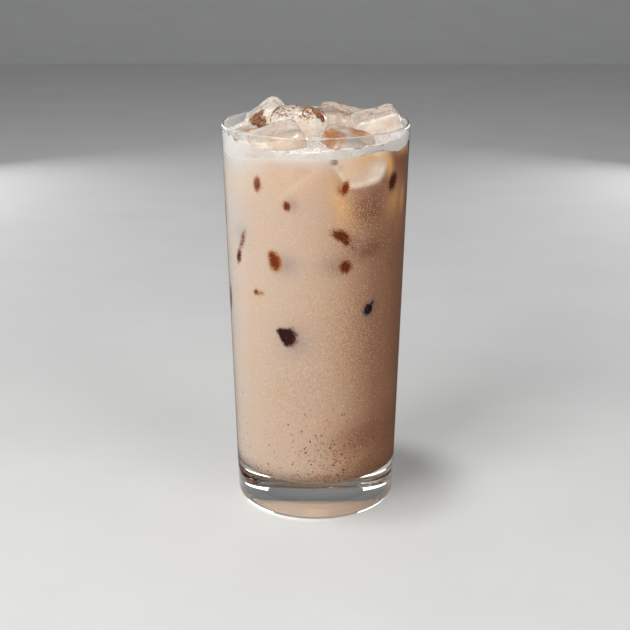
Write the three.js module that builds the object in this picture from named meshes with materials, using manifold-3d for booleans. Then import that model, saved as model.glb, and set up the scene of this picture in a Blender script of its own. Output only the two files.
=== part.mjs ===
// Iced milk tea in a tall straight glass, with ice cubes standing out of its milk foam.
// Millimetres, +Z up. The origin is on the glass's axis, level with its foot ring; -Y is the front.
import * as THREE from 'three';
import { RoundedBoxGeometry } from 'three/addons/geometries/RoundedBoxGeometry.js';
import { mergeVertices } from 'three/addons/utils/BufferGeometryUtils.js';
import Module from 'manifold-3d';

const wasm = await Module();
wasm.setup();

// Glass: a tapered tumbler with a heavy floor
const GLASS_HEIGHT = 160;
const RIM_RADIUS = 37.6;
const BASE_RADIUS = 33.0;
const HEEL_RADIUS = 4.0;
const WALL_AT_RIM = 1.5;
const WALL_AT_FLOOR = 2.6;
const FLOOR_THICKNESS = 15.0;
const FLOOR_DISH = 1.5;
const INNER_CORNER = 8.5;
const PUNT_RADIUS = 23.0;
const PUNT_HEIGHT = 2.3;
const GLASS_SIDES = 72;

// Straight pieces in the arcs of the glass's profile
const PUNT_STEPS = 4;
const HEEL_STEPS = 4;
const LIP_STEPS = 5;
const CORNER_STEPS = 5;

// A middle point of the dished floor: its share of the way out, and of the dish's depth left
const DISH_POINT_OUT = 0.55;
const DISH_POINT_DEPTH = 0.7;

// Contents: heights of the foam's top and of the line where foam meets drink
const FOAM_TOP = 154.9;
const FOAM_LINE = 151.6;
const CONTENT_SIDES = 60;
const SURFACE_RINGS = 7;
const RING_SPREAD = 0.8;

// Distance kept between neighbouring pieces
const GAP = 0.3;

// Ripples of the foam's top: height, waves across the glass along x and y, phase
const FOAM_RIPPLES = [
  { height: 0.12, alongX: 0.21, alongY: 0.13, phase: 0.4 },
  { height: 0.09, alongX: -0.17, alongY: 0.31, phase: 2.1 },
];
const MENISCUS_HEIGHT = 0.35;
const MENISCUS_WIDTH = 2.5;

// Swells of the foam's underside at the wall: direction from the front towards +X in
// degrees, angular half width in degrees, and how far the foam line rises there
const FOAM_SWELLS = [
  { at: 42, width: 17, rise: 2.0 },
  { at: 66, width: 12, rise: -1.6 },
  { at: 100, width: 16, rise: -1.2 },
  { at: -62, width: 22, rise: -2.6 },
  { at: 150, width: 30, rise: -1.0 },
  { at: -140, width: 26, rise: 1.2 },
];

// Where the foam's top lies lower at the wall, stated in the same way
const FOAM_DIPS = [
  { at: -15, width: 22, rise: -1.7 },
];
// How fast a swell fades from the wall inwards, as a power of the radius
const SWELL_POWER = 4;

// Ice cubes: centre, size, turn about x, y and z in degrees, and radius of the melted edges
const ICE_CUBES = [
  {
    name: 'ice_back_left',
    centre: [-18.6, 17.2, 153.4],
    size: [20, 18, 20],
    turn: [16, -37, -14],
    edge: 3.8,
  },
  {
    name: 'ice_middle_left',
    centre: [-7.1, 1.8, 154.1],
    size: [22.4, 16.5, 23.4],
    turn: [-6, 5, -8],
    edge: 7.0,
  },
  {
    name: 'ice_front_left',
    centre: [-13.8, -19.4, 149.9],
    size: [20, 19, 21],
    turn: [14, -14, 12],
    edge: 3.0,
  },
  {
    name: 'ice_back_right',
    centre: [9.3, 22.0, 151.8],
    size: [20, 18, 20.6],
    turn: [8, 11, -14],
    edge: 3.8,
  },
  {
    name: 'ice_right',
    centre: [26.0, 4.4, 152.3],
    size: [18.4, 18, 22.4],
    turn: [6, -16, 6],
    edge: 2.4,
  },
  {
    name: 'ice_front_right',
    centre: [11.5, -20.0, 149.2],
    size: [20, 17, 20],
    turn: [24, 14, 18],
    edge: 3.4,
  },
  {
    name: 'ice_far_left',
    centre: [-27.2, -1.4, 151.4],
    size: [11, 11.5, 12],
    turn: [4, -8, 12],
    edge: 2.6,
  },
];
const EDGE_STEPS = 2;
const CUBE_TAPER = 0.1;
const MELT_DEPTH = 0.45;
const MELT_WAVE = 0.24;

// How far above the rim the room for the ice is carried
const HEADROOM = 30;

const GLASS_LOOK = { color: 0xe8efee, roughness: 0.03, metalness: 0, transparent: true, opacity: 0.35 };
const DRINK_LOOK = { color: 0xd0a584, roughness: 0.35, metalness: 0 };
const FOAM_LOOK = { color: 0xe9dfda, roughness: 0.6, metalness: 0 };
const ICE_LOOK = { color: 0xe6ddd5, roughness: 0.12, metalness: 0, transparent: true, opacity: 0.6 };

function outerRadius(z) {
  return BASE_RADIUS + (RIM_RADIUS - BASE_RADIUS) * z / GLASS_HEIGHT;
}

function innerRadius(z) {
  const share = THREE.MathUtils.clamp((z - FLOOR_THICKNESS) / (GLASS_HEIGHT - FLOOR_THICKNESS), 0, 1);
  return outerRadius(z) - THREE.MathUtils.lerp(WALL_AT_FLOOR, WALL_AT_RIM, share);
}

// Points of an arc in the profile plane, from one angle to another in degrees
function arc(centreR, centreZ, radius, fromDegrees, toDegrees, steps) {
  const points = [];
  for (let i = 0; i <= steps; i += 1) {
    const angle = THREE.MathUtils.degToRad(THREE.MathUtils.lerp(fromDegrees, toDegrees, i / steps));
    points.push(new THREE.Vector2(centreR + radius * Math.cos(angle), centreZ + radius * Math.sin(angle)));
  }
  return points;
}

// The inside of the glass from the axis to a height on the wall, held off by a distance
function insideProfile(topHeight, distance) {
  const cornerZ = FLOOR_THICKNESS + INNER_CORNER;
  const cornerR = innerRadius(cornerZ) - INNER_CORNER;
  return [
    new THREE.Vector2(0, FLOOR_THICKNESS - FLOOR_DISH + distance),
    new THREE.Vector2(cornerR * DISH_POINT_OUT, FLOOR_THICKNESS - FLOOR_DISH * DISH_POINT_DEPTH + distance),
    ...arc(cornerR, cornerZ, INNER_CORNER - distance, -90, 0, CORNER_STEPS),
    new THREE.Vector2(innerRadius(topHeight) - distance, topHeight),
  ];
}

// A body turned round Z from its profile, as a merged mesh
function turned(profile, sides) {
  const geometry = new THREE.LatheGeometry(profile, sides);
  geometry.rotateX(Math.PI / 2);
  return merged(geometry);
}

function merged(geometry) {
  geometry.deleteAttribute('normal');
  geometry.deleteAttribute('uv');
  return mergeVertices(geometry, 1e-4);
}

function toSolid(geometry) {
  return new wasm.Manifold(new wasm.Mesh({
    numProp: 3,
    vertProperties: new Float32Array(geometry.attributes.position.array),
    triVerts: new Uint32Array(geometry.index.array),
  }));
}

function toGeometry(solid) {
  const mesh = solid.getMesh();
  const geometry = new THREE.BufferGeometry();
  geometry.setAttribute('position', new THREE.BufferAttribute(mesh.vertProperties, 3));
  geometry.setIndex(new THREE.BufferAttribute(mesh.triVerts, 1));
  return geometry;
}

function named(name, geometry, look) {
  geometry.computeVertexNormals();
  const mesh = new THREE.Mesh(geometry, new THREE.MeshStandardMaterial(look));
  mesh.name = name;
  return mesh;
}

// Every vertex moved along its normal by a distance
function grown(geometry, distance) {
  const copy = geometry.clone();
  copy.computeVertexNormals();
  const place = copy.attributes.position;
  const normal = copy.attributes.normal;
  for (let i = 0; i < place.count; i += 1) {
    place.setXYZ(
      i,
      place.getX(i) + normal.getX(i) * distance,
      place.getY(i) + normal.getY(i) * distance,
      place.getZ(i) + normal.getZ(i) * distance,
    );
  }
  copy.deleteAttribute('normal');
  return copy;
}

// The shallow dome under the glass, from its top on the axis down to the foot ring
function puntProfile() {
  const sphere = (PUNT_RADIUS ** 2 + PUNT_HEIGHT ** 2) / (2 * PUNT_HEIGHT);
  const spread = THREE.MathUtils.radToDeg(Math.asin(PUNT_RADIUS / sphere));
  return arc(0, PUNT_HEIGHT - sphere, sphere, 90, 90 - spread, PUNT_STEPS);
}

function glassGeometry() {
  const heelSlope = THREE.MathUtils.radToDeg(Math.atan((RIM_RADIUS - BASE_RADIUS) / GLASS_HEIGHT));
  const lip = WALL_AT_RIM / 2;
  const lipZ = GLASS_HEIGHT - lip;
  const heelR = outerRadius(HEEL_RADIUS) - HEEL_RADIUS;
  return turned([
    ...puntProfile(),
    ...arc(heelR, HEEL_RADIUS, HEEL_RADIUS, -90, -heelSlope, HEEL_STEPS),
    ...arc(outerRadius(lipZ) - lip, lipZ, lip, -heelSlope, 180, LIP_STEPS),
    ...insideProfile(lipZ - lip, 0).reverse(),
  ], GLASS_SIDES);
}

// How far a surface swells up and down towards the wall, flat in the middle
function swellAt(x, y, level, swells) {
  const direction = THREE.MathUtils.radToDeg(Math.atan2(x, -y));
  const towardsWall = (Math.hypot(x, y) / innerRadius(level)) ** SWELL_POWER;
  let rise = 0;
  for (const swell of swells) {
    const turn = THREE.MathUtils.euclideanModulo(direction - swell.at + 180, 360) - 180;
    rise += swell.rise * Math.exp(-((turn / swell.width) ** 2)) * towardsWall;
  }
  return rise;
}

// Height of the foam's top at a place across the glass
function foamTopAt(x, y) {
  const fromWall = innerRadius(FOAM_TOP) - Math.hypot(x, y);
  let z = FOAM_TOP + MENISCUS_HEIGHT * Math.exp(-Math.max(fromWall, 0) / MENISCUS_WIDTH);
  for (const ripple of FOAM_RIPPLES) {
    z += ripple.height * Math.sin(ripple.alongX * x + ripple.alongY * y + ripple.phase);
  }
  return z + swellAt(x, y, FOAM_TOP, FOAM_DIPS);
}

// Height of the foam's underside
function foamLineAt(x, y) {
  return FOAM_LINE + swellAt(x, y, FOAM_LINE, FOAM_SWELLS);
}

// Points across a level surface, from the axis out to the wall or back in
function acrossSurface(z, distance) {
  const points = [];
  for (let i = 0; i <= SURFACE_RINGS; i += 1) {
    points.push(new THREE.Vector2((innerRadius(z) - distance) * (i / SURFACE_RINGS) ** RING_SPREAD, z));
  }
  return points;
}

// Sets the height of every vertex that lies on a level surface by a rule of x and y
function reshapeLevel(geometry, level, heightAt) {
  const place = geometry.attributes.position;
  for (let i = 0; i < place.count; i += 1) {
    if (Math.abs(place.getZ(i) - level) < 1e-3) {
      place.setZ(i, heightAt(place.getX(i), place.getY(i)));
    }
  }
}

function foamGeometry() {
  const geometry = turned([
    ...acrossSurface(FOAM_LINE, GAP),
    ...acrossSurface(FOAM_TOP, GAP).reverse(),
  ], CONTENT_SIDES);
  reshapeLevel(geometry, FOAM_LINE, foamLineAt);
  reshapeLevel(geometry, FOAM_TOP, foamTopAt);
  return geometry;
}

function drinkGeometry() {
  const level = FOAM_LINE - GAP;
  const geometry = turned([
    ...insideProfile(level, GAP),
    ...acrossSurface(level, GAP).reverse().slice(1),
  ], CONTENT_SIDES);
  reshapeLevel(geometry, level, (x, y) => foamLineAt(x, y) - GAP);
  return geometry;
}

// One cube: rounded, narrower towards its lower end, its faces hollowed by melting
function iceGeometry(cube, index) {
  const [width, depth, height] = cube.size;
  const geometry = merged(new RoundedBoxGeometry(width, depth, height, EDGE_STEPS, cube.edge));
  const place = geometry.attributes.position;
  for (let i = 0; i < place.count; i += 1) {
    const point = new THREE.Vector3().fromBufferAttribute(place, i);
    const taper = 1 + CUBE_TAPER * point.z / height;
    const alongOne = Math.sin(MELT_WAVE * (point.x + point.y) + index);
    const alongOther = Math.cos(MELT_WAVE * (point.z - point.y) + 2 * index);
    const away = point.clone().normalize();
    point.multiply(new THREE.Vector3(taper, taper, 1));
    point.addScaledVector(away, MELT_DEPTH * alongOne * alongOther);
    place.setXYZ(i, point.x, point.y, point.z);
  }
  const [aboutX, aboutY, aboutZ] = cube.turn.map(THREE.MathUtils.degToRad);
  const turn = new THREE.Euler(aboutX, aboutY, aboutZ, 'ZYX');
  geometry.applyMatrix4(new THREE.Matrix4().makeRotationFromEuler(turn));
  geometry.translate(...cube.centre);
  return geometry;
}

// The room that contents may fill: the inside of the glass, carried straight up past the rim
function roomGeometry() {
  const wall = insideProfile(GLASS_HEIGHT, GAP);
  const top = GLASS_HEIGHT + HEADROOM;
  return turned([
    ...wall,
    new THREE.Vector2(innerRadius(GLASS_HEIGHT) - GAP, top),
    new THREE.Vector2(0, top),
  ], GLASS_SIDES);
}

// The cubes as solids that fit the glass, each cut back where an earlier one lies against it
function iceSolids(shapes) {
  const room = toSolid(roomGeometry());
  const earlier = [];
  return shapes.map((shape) => {
    let solid = toSolid(shape).intersect(room);
    for (const neighbour of earlier) {
      solid = solid.subtract(neighbour);
    }
    earlier.push(toSolid(grown(shape, GAP)));
    return solid;
  });
}

function cutRound(geometry, cutters) {
  let solid = toSolid(geometry);
  for (const cutter of cutters) {
    solid = solid.subtract(cutter);
  }
  return toGeometry(solid);
}

const drinkGroup = new THREE.Group();
const iceShapes = ICE_CUBES.map(iceGeometry);
const iceCutters = iceShapes.map((shape) => toSolid(grown(shape, GAP)));

drinkGroup.add(named('glass_tumbler', glassGeometry(), GLASS_LOOK));
drinkGroup.add(named('milk_tea', cutRound(drinkGeometry(), iceCutters), DRINK_LOOK));
drinkGroup.add(named('milk_foam', cutRound(foamGeometry(), iceCutters), FOAM_LOOK));
iceSolids(iceShapes).forEach((solid, i) => {
  drinkGroup.add(named(ICE_CUBES[i].name, toGeometry(solid), ICE_LOOK));
});

export default drinkGroup;
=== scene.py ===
import math

import bmesh
import bpy
import numpy as np
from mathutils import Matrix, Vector, noise


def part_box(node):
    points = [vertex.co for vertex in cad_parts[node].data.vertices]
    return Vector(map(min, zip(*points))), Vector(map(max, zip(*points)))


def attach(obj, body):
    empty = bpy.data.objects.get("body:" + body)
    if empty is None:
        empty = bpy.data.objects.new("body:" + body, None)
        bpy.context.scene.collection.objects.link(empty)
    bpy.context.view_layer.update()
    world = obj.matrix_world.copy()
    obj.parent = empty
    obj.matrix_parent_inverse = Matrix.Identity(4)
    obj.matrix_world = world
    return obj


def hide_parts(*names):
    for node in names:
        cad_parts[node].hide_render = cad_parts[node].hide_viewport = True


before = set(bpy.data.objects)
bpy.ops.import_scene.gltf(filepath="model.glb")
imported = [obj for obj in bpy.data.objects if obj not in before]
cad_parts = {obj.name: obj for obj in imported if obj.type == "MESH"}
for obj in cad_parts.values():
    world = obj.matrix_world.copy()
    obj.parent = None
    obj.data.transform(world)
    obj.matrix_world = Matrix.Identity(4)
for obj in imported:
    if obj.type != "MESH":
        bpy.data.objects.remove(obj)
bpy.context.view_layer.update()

MM = 0.001

# Glass: height and rim from the frame, the rest as the object's own measures in metres
GLASS_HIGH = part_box("glass_tumbler")[1]
GLASS_HEIGHT = GLASS_HIGH.z
RIM_RADIUS = GLASS_HIGH.x
BASE_RADIUS = 33.0 * MM
HEEL_RADIUS = 4.0 * MM
WALL_AT_RIM = 1.5 * MM
WALL_AT_FLOOR = 2.6 * MM
FLOOR_THICKNESS = 15.0 * MM
FLOOR_DISH = 1.5 * MM
INNER_CORNER = 8.5 * MM
CORNER_TOP = FLOOR_THICKNESS + INNER_CORNER
PUNT_RADIUS = 23.0 * MM
PUNT_HEIGHT = 2.3 * MM
GLASS_SIDES = 180

# The side of the drink painted darkest, in degrees from the front towards +X: less milk lies there, and the
# darkening towards it is also painted shade, on the side away from the light
DARK_SIDE = 75

# Contents: they reach this far into the wall, and their ice cups this far into the ice
INTO_GLASS = 0.06 * MM
INTO_ICE = 0.12 * MM
# Heights of the foam's top and of its underside, which is the top of the drink
FOAM_TOP = 154.9 * MM
FOAM_LINE = 151.6 * MM
# The drink's mesh is finer from the height where the marks at the wall begin
CONTENT_SIDES = 300
PLAIN_STEP = 1.1 * MM
FINE_STEP = 0.75 * MM
MARKS_FROM = 68.0 * MM

# Ice: how finely the frame's cubes are remeshed and how often that is smoothed, then the size
# of dents and ripples, and in mm how deep they go and how much the ice has melted back
ICE_VOXEL = 0.45 * MM
ICE_SMOOTHING = 6
DENT_SIZE = 4 * MM
RIPPLE_SIZE = 1.6 * MM
DENT_DEPTH = 0.32
RIPPLE_DEPTH = 0.06
MELTED = 0.1

# Foam line at the wall: direction from the front towards +X in degrees, width, rise
FOAM_SWELLS = [
    (42, 17, 2.0 * MM),
    (60, 9, -0.9 * MM),
    (82, 15, 2.4 * MM),
    (112, 10, -0.8 * MM),
    (-62, 22, -2.6 * MM),
    (150, 30, -1.0 * MM),
    (-140, 26, 1.2 * MM),
]

# Where the foam's top lies lower at the wall: direction, width, rise
FOAM_DIPS = [
    (-15, 22, -1.7 * MM),
]

# The stage's floor lies under a thin film of air, so that the glass's underside mirrors
UNDER_GLASS = -0.1 * MM

# Directions round the glass are degrees from the front towards +X, heights are mm.
# Ice that touches the wall inside the drink: direction, height, half width and half height,
# tilt, darkness, redness, and how far right and up its haze lies and how wide it is
ICE_TOUCHES = [
    (-38.4, 140.9, 1.3, 2.4, -4, 0.95, 1.00, 0.8, -1.0, 1.6),
    (-18.0, 133.4, 1.1, 1.5, 14, 1.00, 0.80, 2.0, 0.6, 2.6),
    (17.9, 140.2, 1.2, 2.3, -16, 0.95, 1.00, -1.6, 0.8, 2.4),
    (15.6, 139.9, 1.8, 1.8, 0, 0.42, 1.00, 0.0, 0.0, 1.0),
    (55.3, 140.3, 2.2, 3.4, -28, 1.00, 0.40, 0.6, -2.0, 3.0),
    (16.2, 121.7, 3.5, 1.8, -28, 1.00, 0.60, 5.0, -2.6, 3.2),
    (19.0, 119.2, 1.9, 1.2, -40, 0.90, 0.60, 2.0, -1.4, 2.4),
    (24.4, 116.6, 3.6, 1.0, -40, 0.36, 0.40, 4.0, -1.0, 4.0),
    (-54.2, 116.4, 1.4, 5.2, -24, 0.40, 0.45, -0.8, 3.0, 3.6),
    (-59.0, 109.6, 1.4, 2.8, -16, 0.72, 0.35, 0.0, 0.0, 1.0),
    (-26.8, 110.8, 2.1, 3.0, 8, 0.95, 0.95, 4.2, -0.8, 4.6),
    (-28.8, 113.2, 1.5, 1.4, 0, 0.85, 0.95, 0.0, 0.0, 1.0),
    (19.2, 109.2, 2.2, 2.5, 0, 0.95, 0.62, -4.6, 0.6, 4.4),
    (-42.4, 96.8, 1.1, 1.0, 0, 0.75, 0.90, 1.2, 0.2, 1.6),
    (-39.2, 96.8, 2.1, 0.8, 0, 0.42, 1.00, 0.0, 0.0, 1.0),
    (37.0, 90.4, 2.0, 2.4, -30, 1.00, 0.05, 0.6, 0.4, 3.0),
    (39.2, 92.0, 1.3, 2.6, -34, 0.62, 0.05, 0.0, 0.0, 1.0),
    (-79.3, 88.9, 1.4, 5.0, -8, 0.60, 0.30, 0.8, 0.0, 2.0),
    (-83.0, 124.0, 1.6, 5.4, 4, 0.30, 0.30, 1.0, 0.0, 2.4),
    (-49.0, 148.6, 0.6, 5.0, 18, 0.24, 0.45, 0.0, 0.0, 1.0),
    (10.4, 150.9, 1.5, 1.1, -30, 0.85, 0.60, 2.6, -2.6, 1.4),
]
# The one touch with a corner: direction, height, size, haze as above
CORNER_TOUCH = (-21.0, 80.4, 5.4, 3.6, -1.6, 6.8)
# Touches at the back, which the photo doesn't show: their number, and the rest is chance
BACK_TOUCHES = 15

# A pale cube that lies just behind the wall under the foam: its corners as (direction, height)
PALE_CUBE = [(8.6, 152.9), (18.5, 140.9), (25.0, 140.0), (42.5, 141.2), (48.5, 146.0), (48.0, 153.0)]

# Soft areas of the drink at the wall: direction, height, half width, half height, tilt, strength
# Golden areas: golden tea, and at the right edge a painted glow of light shining through the drink
GOLDEN_AND_GLOW_AREAS = [
    (50.5, 148.0, 2.2, 7.0, 20, 1.0),
    (68, 152.0, 5.0, 1.8, 0, 0.8),
    (16, 134.0, 3.6, 10.0, 24, 0.42),
    (58, 134.0, 4.6, 7.0, -10, 0.55),
    (69, 132.0, 2.6, 5.5, 0, 0.6),
    (64, 126.0, 4.0, 9.0, 0, 0.15),
    (-8, 143.0, 17.0, 6.0, 0, 0.12),
]
# Brown areas: partly darker tea, partly painted shade at the shaded right edge and below the pale cube
BROWN_AND_SHADE_AREAS = [
    (66, 145.5, 5.6, 5.6, -20, 0.85),
    (74, 136.0, 5.0, 10.0, 0, 0.8),
    (34, 131.5, 6.4, 5.0, 0, 0.72),
    (42, 137.0, 7.0, 1.8, -12, 0.4),
    (38, 115.0, 7.0, 3.2, 14, 0.85),
    (64, 112.0, 7.0, 12.0, 0, 0.4),
    (70, 80.0, 7.0, 26.0, 0, 0.5),
    (36, 36.0, 12.0, 6.5, 8, 0.75),
    (66, 34.0, 9.0, 12.0, 0, 0.7),
    (40, 22.0, 12.0, 4.0, 0, 0.5),
]
# Lilac areas: a cool tone of the drink; those at the left side are a painted cool reflection of the light
# at the left
LILAC_AND_SHEEN_AREAS = [
    (-60, 122.0, 8.0, 9.0, 0, 1.0),
    (-8, 109.5, 12.0, 4.0, 0, 0.5),
    (29, 114.0, 7.0, 4.0, 20, 0.4),
    (-72, 100.0, 6.0, 30.0, 0, 0.5),
    (-14, 77.0, 7.0, 5.0, 0, 0.5),
    (-62, 150.0, 9.0, 6.0, 0, 0.9),
]
# Painted highlights: bright gleams on the drink at the wall, most on the pale cube
PAINTED_GLEAMS = [
    (38.0, 142.8, 4.0, 1.2, 14, 1.0),
    (43.6, 145.4, 2.8, 1.5, 52, 1.0),
    (40.0, 146.0, 4.0, 2.6, 36, 0.75),
    (28.0, 141.4, 5.0, 0.9, 4, 0.5),
    (13.4, 147.2, 0.45, 6.4, 31, 0.45),
    (-12.0, 141.5, 9.0, 1.1, 40, 0.10),
]
GOLDEN_CUBE_AREAS = [
    (36.0, 152.0, 8.0, 2.4, -6, 1.0),
    (28.0, 149.6, 4.5, 2.2, 20, 0.7),
    (48.0, 150.0, 3.0, 2.6, 0, 0.8),
]
BUBBLE_AREAS = [
    (32, 128.0, 8.5, 9.5, 0, 1.0),
    (20, 119.0, 7.0, 7.0, 0, 0.8),
    (26, 76.0, 14.0, 24.0, 0, 0.75),
    (-5, 60.0, 18.0, 14.0, 0, 0.45),
    (42, 116.0, 9.0, 12.0, 0, 0.4),
    (34, 34.0, 16.0, 12.0, 0, 0.2),
]

# Looks of the cubes: roughness that frost adds, milky share, share of tea seen inside
ICE_LOOKS = {
    "ice_back_left": (0.30, 0.66, 0.15),
    "ice_back_right": (0.04, 0.16, 0.30),
    "ice_far_left": (0.15, 0.62, 0.45),
    "ice_front_left": (0.12, 0.55, 0.55),
    "ice_front_right": (0.08, 0.42, 0.35),
    "ice_middle_left": (0.20, 0.58, 0.35),
    "ice_right": (0.22, 0.60, 0.55),
}

# Tea low in the cubes: it begins at the first height and is full at the second, in mm
TEA_FADES = (161, 152)

# Places on the cubes, in mm: wet brown spice, and tea that has soaked in; centre, radius, amount
WET_SPICE = [
    ((-24.8, 8.4, 161.2), 3.8, 1.0),
    ((-23.2, 6.6, 158.6), 3.2, 1.0),
    ((1.4, -4.2, 163.6), 1.5, 1.0),
    ((2.8, -3.4, 161.6), 1.4, 1.0),
    ((0.0, -3.2, 165.0), 1.3, 0.8),
    ((22.0, 1.6, 162.6), 0.9, 0.8),
]
SOAKED = [
    ((5.4, -26.6, 157.0), 6.2, 1.0),
    ((7.4, -24.2, 159.4), 2.4, 0.8),
    ((2.6, -21.6, 155.8), 3.0, 0.9),
    ((16.6, -19.0, 159.4), 4.6, 0.9),
    ((-6.0, -28.9, 156.0), 4.0, 0.5),
    ((-14.2, -30.0, 156.0), 5.0, 0.45),
    ((8.6, 18.4, 161.8), 1.6, 0.8),
    ((10.8, 16.2, 161.2), 1.6, 0.9),
    ((13.0, 13.6, 160.4), 1.6, 0.9),
    ((-26.4, -4.2, 157.4), 2.8, 0.8),
    ((29.0, -4.4, 161.0), 4.0, 0.35),
    ((28.0, 1.0, 164.4), 6.0, 0.25),
    ((-7.0, -2.0, 165.0), 7.0, 0.12),
]

# Spice: how thickly it covers each cube's ridge and its other upper faces
SPICE_SHARES = {
    "ice_back_left": (0.10, 0.02),
    "ice_back_right": (0.10, 0.02),
    "ice_far_left": (0.30, 0.05),
    "ice_front_left": (0.05, 0.03),
    "ice_front_right": (0.08, 0.03),
    "ice_middle_left": (1.00, 0.02),
    "ice_right": (0.10, 0.60),
}
# How many grains lie on each cube, on the foam and at the bottom, and how many large bubbles
SPICE_COUNTS = {
    "ice_back_left": 900,
    "ice_back_right": 70,
    "ice_far_left": 60,
    "ice_front_left": 60,
    "ice_front_right": 50,
    "ice_middle_left": 2900,
    "ice_right": 300,
}
SPICE_ON_FOAM = 260
SETTLED_SPICE = 2200
FOAM_BUBBLES = 1500

# Radii of grains and bubbles in mm: the middle one, how widely they spread, smallest, largest
SPICE_RADII = (0.155, 0.45, 0.07, 0.5)
SETTLED_RADII = (0.21, 0.40, 0.10, 0.5)
BUBBLE_RADII = (0.26, 0.38, 0.12, 0.75)

# Where most of the settled grains lie: direction, height, half width, half height, tilt
SETTLED_AREA = (30, 26, 17, 13, 0)

# Froth climbs the wall all round by this much, in mm, and fades over a distance from the wall
FROTH_CLIMB = 0.7
FROTH_REACH = 1.1 * MM
# Where it climbs further: direction from the front in degrees, width, how much further in mm
FROTH_CLIMBS = [
    (72, 20, 2.0),
    (-70, 22, 2.2),
    (168, 30, 0.8),
    (-140, 18, 1.2),
]
# How far the foam's ragged lower edge laps over the drink, in mm
FOAM_LAP = 0.45
# Froth that hangs in the drink, in mm: its depth, how uneven that is, and how much deeper it is
# round a direction at the left, given with its width in degrees
FROTH_DEPTH = 1.9
FROTH_UNEVEN = 1.5
FROTH_DEEPER = 4.5
DEEPER_AT = (-62, 24)

# Camera, fitted to the photo: its place, how far it looks down in radians, and its lens
CAMERA_PLACE = (-0.29 * MM, -524.2 * MM, 250.3 * MM)
CAMERA_TILT = 0.316
CAMERA_LENS = 75.66

ICE_NODES = [name for name in sorted(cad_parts) if name.startswith("ice_")]


def outer_radius(z):
    return BASE_RADIUS + (RIM_RADIUS - BASE_RADIUS) * z / GLASS_HEIGHT


def inner_radius(z):
    share = np.clip((z - FLOOR_THICKNESS) / (GLASS_HEIGHT - FLOOR_THICKNESS), 0, 1)
    return outer_radius(z) - (WALL_AT_FLOOR + (WALL_AT_RIM - WALL_AT_FLOOR) * share)


def arc(centre_r, centre_z, radius, start, end, steps):
    """Points (r, z) of an arc in the profile plane; angles in degrees."""
    angles = np.radians(np.linspace(start, end, steps + 1))
    return [(centre_r + radius * math.cos(a), centre_z + radius * math.sin(a)) for a in angles]


def mesh_object(name, verts, faces):
    mesh = bpy.data.meshes.new(name)
    mesh.from_pydata([tuple(v) for v in verts], [], faces)
    mesh.update()
    obj = bpy.data.objects.new(name, mesh)
    bpy.context.scene.collection.objects.link(obj)
    return obj


def shade_smooth(obj):
    obj.data.polygons.foreach_set("use_smooth", [True] * len(obj.data.polygons))
    obj.data.update()


def turned(name, profile, sides):
    """A closed body turned round Z from (r, z) points that start and end on the axis."""
    ring_points = profile[1:-1]
    angles = np.linspace(0, 2 * math.pi, sides, endpoint=False)
    verts = [(0, 0, profile[0][1])]
    for r, z in ring_points:
        verts += [(r * math.sin(a), -r * math.cos(a), z) for a in angles]
    verts.append((0, 0, profile[-1][1]))
    last = len(verts) - 1
    faces = []
    for j in range(sides):
        k = (j + 1) % sides
        faces.append((0, 1 + k, 1 + j))
        for i in range(len(ring_points) - 1):
            low, high = 1 + i * sides, 1 + (i + 1) * sides
            faces.append((low + j, low + k, high + k, high + j))
        top = 1 + (len(ring_points) - 1) * sides
        faces.append((last, top + j, top + k))
    obj = mesh_object(name, verts, faces)
    shade_smooth(obj)
    return obj


def inside_profile(heights, distance):
    """The inside of the glass from the axis up through heights on the wall, moved out by a distance."""
    corner_r = float(inner_radius(CORNER_TOP)) - INNER_CORNER
    points = [(0, FLOOR_THICKNESS - FLOOR_DISH - distance)]
    for share in np.linspace(0, 1, 9)[1:-1]:
        points.append((corner_r * share, FLOOR_THICKNESS - FLOOR_DISH * (1 - share ** 2) - distance))
    points += arc(corner_r, CORNER_TOP, INNER_CORNER + distance, -90, 0, 16)
    points += [(float(inner_radius(z)) + distance, z) for z in heights]
    return points


def keep_values(obj, name, values):
    """Stores one number a vertex, for the material to read."""
    layer = obj.data.attributes.new(name, "FLOAT", "POINT")
    layer.data.foreach_set("value", np.asarray(values, np.float32))


def vertex_places(obj):
    places = np.empty(len(obj.data.vertices) * 3)
    obj.data.vertices.foreach_get("co", places)
    return places.reshape(-1, 3)


def set_places(obj, places):
    obj.data.vertices.foreach_set("co", np.asarray(places, np.float64).ravel())
    obj.data.update()


def vertex_normals(obj):
    normals = np.empty(len(obj.data.vertices) * 3)
    obj.data.vertex_normals.foreach_get("vector", normals)
    return normals.reshape(-1, 3)


def swelled(x, y, level, swells):
    """A level surface that swells up and down towards the wall, and is flat in the middle."""
    direction = np.degrees(np.arctan2(x, -y))
    towards_wall = (np.hypot(x, y) / inner_radius(level)) ** 4
    z = np.full_like(np.asarray(x, float), level)
    for at, width, rise in swells:
        turn = (direction - at + 180) % 360 - 180
        z = z + rise * np.exp(-((turn / width) ** 2)) * towards_wall
    return z


def foam_line(x, y):
    return swelled(x, y, FOAM_LINE, FOAM_SWELLS)


def foam_top(x, y):
    return swelled(x, y, FOAM_TOP, FOAM_DIPS)


# Fields: numbers from 0 to 1, worked out for every vertex and read by the materials
def smooth_step(values, low, high):
    share = np.clip((values - low) / (high - low), 0, 1)
    return share * share * (3 - 2 * share)


def slow_noise(places, size, seed=0.0):
    """Smooth noise from -1 to 1 at each place, with features of a size."""
    shift = Vector((seed * 17.1, seed * 5.3, seed * 9.7))
    return np.array([noise.noise(Vector(place) / size + shift) for place in places])


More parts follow.
